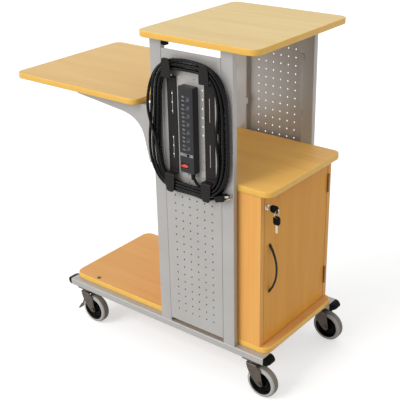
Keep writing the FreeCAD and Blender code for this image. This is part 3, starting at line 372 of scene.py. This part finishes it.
# ---------------------------------------------------------------- towers
# Two towers of 45 x 20 mm tube posts, each closed by a 1.5 mm steel sheet with a grid of punched round holes
# and folded sides, tacked to tabs behind the posts.  All one powder coat.
sheet, fold_radius, fold_depth = 1.5 * mm, 2.5 * mm, 12 * mm
pitch_x, pitch_z, hole_radius = 29.4 * mm, 28 * mm, 2.7 * mm
hole_columns, hole_rows, first_row = 6, 30, 47 * mm
for node in ("near_posts", "far_posts", "panel_tabs", "post_top_plates"):
    dressed(node, powder_coat)
dressed("cable_clip", black_nylon, 1.5 * mm)

for node, side in (("near_panel", -1), ("far_panel", 1)):
    low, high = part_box(node)
    middle, face_y = (low.x + high.x) / 2, (low.y if side < 0 else high.y)
    # Each hole's cell: a ring of twelve points on its circle, joined to twelve on the cell's edge.  The cells
    # face -Y on both panels, so the far panel's field thickens outwards, a sheet proud of its margins.
    ray = np.radians(15 + 30 * np.arange(12))
    circle = np.stack([np.cos(ray), np.sin(ray)], -1)
    square = circle / np.abs(circle).max(1, keepdims=True) * [pitch_x / 2, pitch_z / 2]
    column, row = np.meshgrid(np.arange(hole_columns), np.arange(hole_rows))
    at = np.stack([middle + (column.ravel() - (hole_columns - 1) / 2) * pitch_x,
                   low.z + first_row + row.ravel() * pitch_z], -1)
    rings = at[:, None, None] + np.stack([square, circle * hole_radius])
    flat = np.stack([rings[..., 0], np.full(rings.shape[:3], face_y), rings[..., 1]], -1).reshape(-1, 3)
    k = np.arange(12)
    cell = np.stack([k, (k + 1) % 12, 12 + (k + 1) % 12, 12 + k], -1)
    faces = (cell[None] + 24 * np.arange(len(at))[:, None, None]).reshape(-1, 4)
    # Margins round the grid: the columns run on over the folds, the rows to the sheet's ends.
    levels = np.unique(np.round(rings[:, 0, :, 1], 7))
    across = np.unique(np.round(rings[:, 0, :, 0], 7))
    ends = np.array([low.z, *levels, high.z])
    turn = np.linspace(0, np.pi / 2, 6)
    margins = [(across, ends[:2]), (across, ends[-2:])]
    skins = [(flat, faces.tolist())]
    for xs, zs in margins:
        grid = np.stack(np.broadcast_arrays(xs[None, :], face_y, zs[:, None]), -1)
        skins.append(skin(grid[:, ::-side]))
    for way in (-1, 1):
        edge = high.x - middle
        bend_x = edge - fold_radius + fold_radius * np.sin(turn)
        bend_y = fold_radius * (1 - np.cos(turn))
        path_x = np.concatenate([[across[-1] - middle], bend_x, [edge]])
        path_y = np.concatenate([[0], bend_y, [fold_depth]])
        grid = np.stack(np.broadcast_arrays((middle + way * path_x)[None, :],
                                            (face_y - side * path_y)[None, :], ends[:, None]), -1)
        skins.append(skin(grid[:, ::-side * way]))
    panel = piece_of(node + "_sheet", skins, powder_coat, "root", [node], 50)
    # An edge that only one face uses is a rim: sharp, so that the sheet's thickness meets its face crisply.
    edge_of_corner, sharp = np.empty(len(panel.data.loops), int), np.empty(len(panel.data.edges), bool)
    panel.data.loops.foreach_get("edge_index", edge_of_corner)
    panel.data.edges.foreach_get("use_edge_sharp", sharp)
    rim = np.bincount(edge_of_corner, minlength=len(sharp)) == 1
    panel.data.edges.foreach_set("use_edge_sharp", sharp | rim)
    wall = panel.modifiers.new("sheet thickness", "SOLIDIFY")
    wall.thickness, wall.offset = sheet, -1

# ---------------------------------------------------------------- side shelf gussets
# Two brackets of laser-cut 3 mm steel plate, each with a flange folded out under the shelf, screwed to the
# towers' posts and given the same silver-grey powder coat.
for node in ("near_gusset", "far_gusset"):
    dressed(node, powder_coat, 0.8 * mm)

# ---------------------------------------------------------------- cabinet
# Side boards, back and an inset door of 19 mm particle board in the same laminate, its grain upright.  The
# door hangs on two butt hinges and has a bow handle and a cam lock with its two keys.
upright_grain = laminate("maple_laminate_upright", "#E8A552", "#F0B261", 2)
# The door's copy of the laminate is darker and more orange than the side boards': painted shade, since the
# door faces away from the key light.
door_laminate_painted_shade = laminate("maple_laminate_door_painted_shade", "#E29B37", "#EDAA44", 2)
for node in ("cabinet_near_side", "cabinet_far_side", "cabinet_back"):
    dressed(node, upright_grain, joined=True)
dressed("door", door_laminate_painted_shade, 0.8 * mm, joined=True)

# Bronzed steel butt hinges: a dull brown that the oil finish leaves, near the wood's own tone.
bronzed, tree, shader = material("bronzed_steel", Base_Color=linear("#8A6A42"), Metallic=0.7, Roughness=0.5)
uneven(tree, shader, 3 * mm, 0.44, 0.56)
for node in ("hinge_frame_leaves", "hinge_door_leaves"):
    dressed(node, bronzed, 0.2 * mm)

# Bright nickel plate on the lock and on the blades of the keys.
bright, tree, shader = material("nickel_plated_steel", Base_Color=linear("#C4BEB2"), Metallic=1.0,
                                Roughness=0.24)
uneven(tree, shader, 2 * mm, 0.2, 0.28)
for node in ("lock_barrel", "lock_plug"):
    dressed(node, bright, 0.2 * mm)

# Bow handle, die-cast and coated with black epoxy: glossy, nearly black.
handle_black, tree, shader = material("black_epoxy_zinc_casting", Base_Color=linear("#100C0A"),
                                      Roughness=0.28, Specular_IOR_Level=0.25)
uneven(tree, shader, 12 * mm, 0.25, 0.31)
dressed("door_handle", handle_black, 0.6 * mm)

def face_centres(piece):
    """Middles of a piece's faces (n, 3)."""
    middles = np.empty((len(piece.data.polygons), 3))
    piece.data.polygons.foreach_get("center", middles.ravel())
    return middles


def nickelled(piece, metal):
    """Nickel plate on the faces picked out; the others keep their coat."""
    piece.data.materials.append(bright)
    piece.data.polygons.foreach_set("material_index", metal.astype(np.int32))


# The keys' heads are black plastic, moulded over the nickel blades.  The spare one hangs from the first by a
# wire ring, blade down.
head_length, head_thick, blade_length, skim = 29 * mm, 4.6 * mm, 27 * mm, 0.1 * mm
for node, axis in (("key", 0), ("spare_key", 2)):
    low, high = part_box(node)
    head_start = high.x - head_length if node == "key" else low.z + blade_length
    piece = dressed(node, black_nylon, 0.4 * mm)
    along = face_centres(piece)[:, axis] - head_start
    aside = np.abs(face_centres(piece)[:, 1] - (low.y + high.y) / 2)
    nickelled(piece, (along < 0) | (along > head_length) | (aside > head_thick / 2 + skim))

# ---------------------------------------------------------------- cord brackets
# Two strips of 3 mm steel bent into hooks at both ends, slotted, screwed to the panel and powder coated in
# black: satin, a little uneven.
bracket_black, tree, shader = material("black_powder_coated_steel", Roughness=0.36, Specular_IOR_Level=0.18)
place = add(tree, "TexCoord")
cloud = add(tree, "TexNoise", None, {"Vector": place.outputs["Object"], "Scale": 1 / 0.03, "Detail": 3.0})
tint = add(tree, "Mix", {"data_type": "RGBA"}, {0: cloud.outputs["Fac"], 6: linear("#171413"),
                                                7: linear("#241F1E")})
tree.links.new(tint.outputs[2], shader.inputs["Base Color"])
for node in ("cord_bracket_left", "cord_bracket_right"):
    dressed(node, bracket_black, 0.8 * mm)

# ---------------------------------------------------------------- power strip
# Moulded ABS housing with seven outlets down its front, a lit rocker switch and a breaker button in a bare
# grey band.  Each outlet's face has two blade slots, one ground hole, and a raised lip round each.
strip_low, strip_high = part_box("power_strip_housing")
strip_x, face_out = (strip_low.x + strip_high.x) / 2, -strip_low.y
outlet_first, outlet_pitch, outlet_count = 36 * mm, 25.6 * mm, 7
outlet_z = strip_high.z - outlet_first - outlet_pitch * np.arange(outlet_count)
outlet_half, outlet_corner = [17 * mm, 10.5 * mm], 3 * mm
opening_aside, blade_aside = 9.5 * mm, 6.35 * mm  # openings from the strip's middle, blades from the outlet's
blade_slot = ([3.5 * mm, 1 * mm], 0.1 * mm)       # half sizes and corner radius
ground_hole = ([2.6 * mm, 2.6 * mm], 2.599 * mm)
lip_width, lip_height, well_depth, well_overcut = 1.2 * mm, 0.5 * mm, 3 * mm, 1 * mm


def upright(grid):
    """Grid laid flat (x, y, height) stood up as (x, -height, y), its height towards the near side."""
    return np.stack([grid[..., 0], -grid[..., 2], grid[..., 1]], -1)


def stood(half, radius, centre, profile, wrap_rows=False):
    """Skin of a rounded rectangle at (x, z), carried out from the strip by a profile of (inset, height)."""
    outline = rounded_rectangle(half, radius) + np.array(centre)
    return skin(upright(carried(outline, corner_out, profile)), wrap_rows, True, not wrap_rows)


def carved(piece, cutters, operation="DIFFERENCE"):
    """Cut closed skins out of a piece, or keep only what lies in them: worked out once, on its mesh."""
    tool = piece_of("cutter", cutters, bracket_black, "root", [])
    others = list(piece.modifiers)
    for other in others:
        other.show_viewport = False
    cut = piece.modifiers.new("cut", "BOOLEAN")
    cut.object, cut.operation, cut.solver = tool, operation, "EXACT"
    graph = bpy.context.evaluated_depsgraph_get()
    piece.data = bpy.data.meshes.new_from_object(piece.evaluated_get(graph))
    piece.modifiers.remove(cut)
    for other in others:
        other.show_viewport = True
    bpy.data.objects.remove(tool)


# ABS, moulded against a fine spark-eroded texture: dark grey, satin, with a 0.8 mm grain.
strip_black, tree, shader = material("black_abs_housing", Base_Color=linear("#242326"), Roughness=0.4,
                                     Specular_IOR_Level=0.3)
place = add(tree, "TexCoord")
grain = add(tree, "TexNoise", None, {"Vector": place.outputs["Object"], "Scale": 1 / 0.0008, "Detail": 1.0})
bumps = add(tree, "Bump", None, {"Height": grain.outputs["Fac"], "Strength": 0.2, "Distance": 0.03 * mm})
tree.links.new(bumps.outputs["Normal"], shader.inputs["Normal"])
dressed("power_strip_housing", strip_black, 0.6 * mm)

# Polycarbonate outlet faces: smooth, glossier and a shade lighter. The lips round the openings are painted
# pale grey as a highlight on their edges.
outlet_black, tree, shader = material("black_polycarbonate", Base_Color=linear("#2C2B2F"), Roughness=0.3,
                                      Specular_IOR_Level=0.3)
uneven(tree, shader, 5 * mm, 0.27, 0.33)
# Painted highlight: the lips are coloured pale grey, speckled, so that their edges read as catching light.
lip_highlight_coat, tree, shader = material("lip_highlight_polycarbonate", Roughness=0.3)
place = add(tree, "TexCoord")
lip_speckle = add(tree, "TexNoise", None, {"Vector": place.outputs["Object"], "Scale": 1 / 0.004, "Detail": 2.0})
spread = add(tree, "MapRange", None, {"Value": lip_speckle.outputs["Fac"], "From Min": 0.35, "From Max": 0.65})
tint = add(tree, "Mix", {"data_type": "RGBA"}, {0: spread.outputs[0], 6: linear("#5E5C60"),
                                                7: linear("#B4B2B5")})
tree.links.new(tint.outputs[2], shader.inputs["Base Color"])
plates, wells, lips = [], [], []
for z in outlet_z:
    plates.append(stood(outlet_half, outlet_corner, (strip_x, z),
                        [[0.05 * mm, face_out - 4 * mm], [0.05 * mm, face_out - 0.4 * mm],
                         [0.45 * mm, face_out]]))
    for half, radius, centre in ((*blade_slot, (strip_x - opening_aside, z - blade_aside)),
                                 (*blade_slot, (strip_x - opening_aside, z + blade_aside)),
                                 (*ground_hole, (strip_x + opening_aside, z))):
        wells.append(stood(half, radius, centre, [[0, face_out - well_depth], [0, face_out + well_overcut]]))
        lips.append(stood(half, radius, centre, [[0, face_out - 0.1 * mm], [-lip_width, face_out - 0.1 * mm],
                                                 [-lip_width, face_out + 0.6 * lip_height],
                                                 [-0.6 * lip_width, face_out + lip_height],
                                                 [0, face_out + lip_height]], True))
faces = piece_of("outlet_faces", plates, outlet_black, "root", ["outlet_inserts"])
carved(faces, wells)
piece_of("outlet_lips", lips, lip_highlight_coat, "root", [])

# A thin band of bare grey polycarbonate lies round the breaker's black button.
band_grey, tree, shader = material("grey_polycarbonate", Base_Color=linear("#8E8C8F"), Roughness=0.3)
uneven(tree, shader, 4 * mm, 0.26, 0.34)
button_low, button_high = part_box("breaker_button")
button_at = [(button_low.x + button_high.x) / 2, (button_low.z + button_high.z) / 2]
band = piece_of("breaker_band", [stood([25 * mm, 4.6 * mm], 1.5 * mm, (strip_x, button_at[1]),
                                       [[0, face_out - 0.2 * mm], [0, face_out + 0.3 * mm],
                                        [0.3 * mm, face_out + 0.5 * mm]])],
                band_grey, "root", [])
carved(band, [stood([4.2 * mm] * 2, 4.199 * mm, button_at, [[0, face_out - 1 * mm], [0, face_out + 2 * mm]])])
dressed("breaker_button", black_nylon, 0.4 * mm)

# The rocker is black with a red lens let in, given a faint painted glow.
rocker_black, tree, shader = material("black_rocker_frame", Base_Color=linear("#1A1414"), Roughness=0.35,
                                      Specular_IOR_Level=0.25)
uneven(tree, shader, 3 * mm, 0.31, 0.39)
rocker_red, tree, shader = material("red_polycarbonate_lens", Base_Color=linear("#E2452E"), Roughness=0.22)
uneven(tree, shader, 3 * mm, 0.19, 0.25)
# Painted glow: the lens gives off a faint red light of its own, as if the switch were lit.
shader.inputs["Emission Color"].default_value = linear("#E2452E")
shader.inputs["Emission Strength"].default_value = 0.12
rocker_low, rocker_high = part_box("rocker_switch")
rocker_at = np.array([rocker_low.x + rocker_high.x, rocker_low.z + rocker_high.z]) / 2
lens_turn = np.linspace(0, 2 * np.pi, 40, endpoint=False)
pointed = np.sign(np.sin(lens_turn)) * np.abs(np.sin(lens_turn)) ** 1.5
lens_half_width, lens_half_height = 12.5 * mm, 4.9 * mm
lens = rocker_at + np.stack([lens_half_width * np.cos(lens_turn), lens_half_height * pointed], -1)
reach = np.array([face_out - 2 * mm, face_out + 20 * mm])
column = np.concatenate([np.broadcast_to(lens, (2, *lens.shape)),
                         np.broadcast_to(reach[:, None, None], (2, len(lens), 1))], -1)
carved(dressed("rocker_switch", rocker_black, 0.4 * mm), [skin(upright(column), False, True, True)])
window = dressed("rocker_switch", rocker_red, 0.3 * mm)
window.name = "rocker_lens"
carved(window, [skin(upright(column), False, True, True)], "INTERSECT")

# ---------------------------------------------------------------- mains cord and plug
# Three-core 9.2 mm PVC cord, one continuous length: down out of the strip, six turns wound round the
# brackets' hooks, and a short end with its moulded plug.
cord_diameter = 9.2 * mm
wrap_x, wrap_z = 227 * mm, 878.5 * mm            # middle of the two brackets
back_y, front_y = -238.1 * mm, -249.4 * mm       # the two layers of turns in the hooks
stations = np.radians([-66, -35, 0, 35, 66, 90, 114, 135, 155, 180, 205, 225, 246, 270])
outward = np.array([                             # mm outside the innermost line, turn by turn
    [6, 3, 1, 2, 3, 0, 3, 1, 3, 7, 10, 10, 8, 9],
    [19, 17, 16, 15, 14, 14, 14, 15, 19, 24, 28, 24, 19, 19],
    [30, 33, 34, 31, 25, 28, 26, 41, 40, 25, 6, 1, 3, 3],
    [3, 6, -4, 6, 5, 3, 3, 0, 2, 7, 13, 14, 13, 13],
    [14, 23, 22, 21, 16, 18, 14, 12, 15, 21, 28, 29, 24, 22],
    [24, 38, 41, 38, 27, 33, 25, 25, 28, 35, 42, 43, 35, 31]]) * mm
depth = np.full(outward.shape, back_y)
depth[3:] = front_y
depth[2, 7:] = np.array([-247, -257, -260, -259, -252, -249.4, -249.4]) * mm
depth[5, 12:] = np.array([-247, -244]) * mm


def inner_line(angle):
    """Superellipse round the hooks: (x / a)^n + (z / b)^n = 1 at a polar angle, taller above than below."""
    above = np.sin(angle) > 0
    a, b, n = 111 * mm, np.where(above, 183, 176) * mm, np.where(above, 4.7, 5.3)
    reach = (np.abs(np.cos(angle) / a) ** n + np.abs(np.sin(angle) / b) ** n) ** (-1 / n)
    return np.stack([reach * np.cos(angle), reach * np.sin(angle)], -1)


turns, per_turn = 6, 36
angle = np.arange(-69, 360 * (turns - 1) + 268, 360 / per_turn) * np.pi / 180
along = np.concatenate([stations + 2 * np.pi * k for k in range(turns)])
step = 1e-4
heading = inner_line(angle + step) - inner_line(angle - step)
heading /= np.linalg.norm(heading, axis=1, keepdims=True)
wound = inner_line(angle) + np.stack([heading[:, 1], -heading[:, 0]], -1) * np.interp(
    angle, along, outward.ravel())[:, None]
wound = np.stack([wound[:, 0], np.interp(angle, along, depth.ravel()), wound[:, 1]], -1)
lead = np.array([(14, -244, -136), (14.2, -244, -147.7), (22.5, -243, -164.7), (33, -241, -175),
                 (48, -239, -181)]) * mm
tail = np.array([(18, -244, -207.5), (42, -244, -210.5), (60, -244, -211), (78, -244, -207.5),
                 (92, -244, -201)]) * mm
route = np.concatenate([lead, wound, tail]) + [wrap_x, 0, wrap_z]

line = bpy.data.curves.new("mains_cord_line", "CURVE")
line.dimensions, line.bevel_depth, line.bevel_resolution = "3D", cord_diameter / 2, 4
line.use_fill_caps = True
spline = line.splines.new("NURBS")
spline.points.add(len(route) - 1)
spline.points.foreach_set("co", np.column_stack([route, np.ones(len(route))]).ravel())
spline.order_u, spline.use_endpoint_u, spline.resolution_u = 3, True, 3
cord = bpy.data.objects.new("mains_cord", line)
bpy.context.scene.collection.objects.link(cord)
cord_jacket, tree, shader = material("black_pvc_jacket", Base_Color=linear("#080809"), Roughness=0.27,
                                     Specular_IOR_Level=0.17)
uneven(tree, shader, 9 * mm, 0.24, 0.3)
line.materials.append(cord_jacket)
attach(cord, "root")
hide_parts("cord_coil", "cord_lead", "cord_tail")
plug = dressed("plug", cord_jacket, 0.5 * mm)
pin_length = 17 * mm
nickelled(plug, face_centres(plug)[:, 0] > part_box("plug")[1].x - pin_length + skim)
dressed("strain_relief", cord_jacket, 0.8 * mm)

# ---------------------------------------------------------------- studio
# A white sweep: it shows white to the camera and in gloss, and gives the underside a soft grey bounce.
floor_mesh = bpy.data.meshes.new("studio_floor_shape")
floor_mesh.from_pydata([(-15, -15, 0), (15, -15, 0), (15, 15, 0), (-15, 15, 0)], [], [(0, 1, 2, 3)])
floor = bpy.data.objects.new("studio_floor", floor_mesh)
bpy.context.scene.collection.objects.link(floor)
paper, tree, shader = material("white_paper_sweep", Base_Color=linear("#CCCCCC"), Roughness=0.9)
shader.inputs["Emission Color"].default_value = (1, 1, 1, 1)
shader.inputs["Emission Strength"].default_value = 0.52
rays = add(tree, "LightPath")
seen = add(tree, "Math", {"operation": "MAXIMUM"}, {0: rays.outputs["Is Camera Ray"],
                                                    1: rays.outputs["Is Glossy Ray"]})
shown = add(tree, "Math", {"operation": "MAXIMUM"}, {0: seen.outputs[0],
                                                     1: rays.outputs["Is Transmission Ray"]})
bounce = add(tree, "BsdfDiffuse", None, {"Color": (0.35, 0.35, 0.35, 1)})
either = add(tree, "MixShader", None, {0: shown.outputs[0], 1: bounce.outputs[0], 2: shader.outputs[0]})
tree.links.new(either.outputs[0], tree.nodes["Material Output"].inputs["Surface"])
floor_mesh.materials.append(paper)

world = bpy.data.worlds.new("studio")
bpy.context.scene.world = world
world.use_nodes = True
tree = world.node_tree
soft = tree.nodes["Background"]
soft.inputs["Color"].default_value, soft.inputs["Strength"].default_value = (1, 1, 1, 1), 0.73
white = add(tree, "Background", None, {"Color": (1, 1, 1, 1), "Strength": 1.0})
rays = add(tree, "LightPath")
seen = add(tree, "Math", {"operation": "MAXIMUM"}, {0: rays.outputs["Is Camera Ray"],
                                                    1: rays.outputs["Is Glossy Ray"]})
shown = add(tree, "Math", {"operation": "MAXIMUM"}, {0: seen.outputs[0],
                                                     1: rays.outputs["Is Transmission Ray"]})
either = add(tree, "MixShader", None, {0: shown.outputs[0], 1: soft.outputs[0], 2: white.outputs[0]})
tree.links.new(either.outputs[0], tree.nodes["World Output"].inputs["Surface"])


def aimed(towards_z, name, data, where):
    """Object whose +Z axis points along a direction, at a place."""
    made = bpy.data.objects.new(name, data)
    made.rotation_euler = Vector(towards_z).to_track_quat("Z", "Y").to_euler()
    made.location = where
    bpy.context.scene.collection.objects.link(made)
    return made


# A broad key from the near side, and a small faint lamp above it that draws the thin lights on black gloss.
for name, energy, spread, way in (("soft_key", 1.5, 40, (-0.35, -0.78, 0.52)),
                                  ("small_lamp", 0.3, 9, (-0.15, -0.62, 0.77))):
    lamp = bpy.data.lights.new(name, "SUN")
    lamp.energy, lamp.angle = energy, math.radians(spread)
    aimed(way, name, lamp, (4 * way[0], 4 * way[1], 4 * way[2]))

# ---------------------------------------------------------------- camera
# A 76 mm lens from the near side and the door end, above the lectern top, looking down and rolled by a
# degree.
yaw, pitch, roll = np.radians([38.934, 24.589, -1.324])
camera_at = (1.7522, -2.0849, 1.7419)
back = np.array([math.sin(yaw) * math.cos(pitch), -math.cos(yaw) * math.cos(pitch), math.sin(pitch)])
level = np.cross(-back, [0, 0, 1])
level /= np.linalg.norm(level)
above = np.cross(back, level)
right = level * math.cos(roll) + above * math.sin(roll)
up = above * math.cos(roll) - level * math.sin(roll)
lens = bpy.data.cameras.new("camera")
lens.sensor_width, lens.lens = 36.0, 76.07583
camera = bpy.data.objects.new("camera", lens)
bpy.context.scene.collection.objects.link(camera)
pose = np.eye(4)
pose[:3] = np.stack([right, up, back, camera_at], -1)
camera.matrix_world = Matrix(pose)
bpy.context.scene.camera = camera
bpy.context.scene.view_settings.view_transform = "Standard"
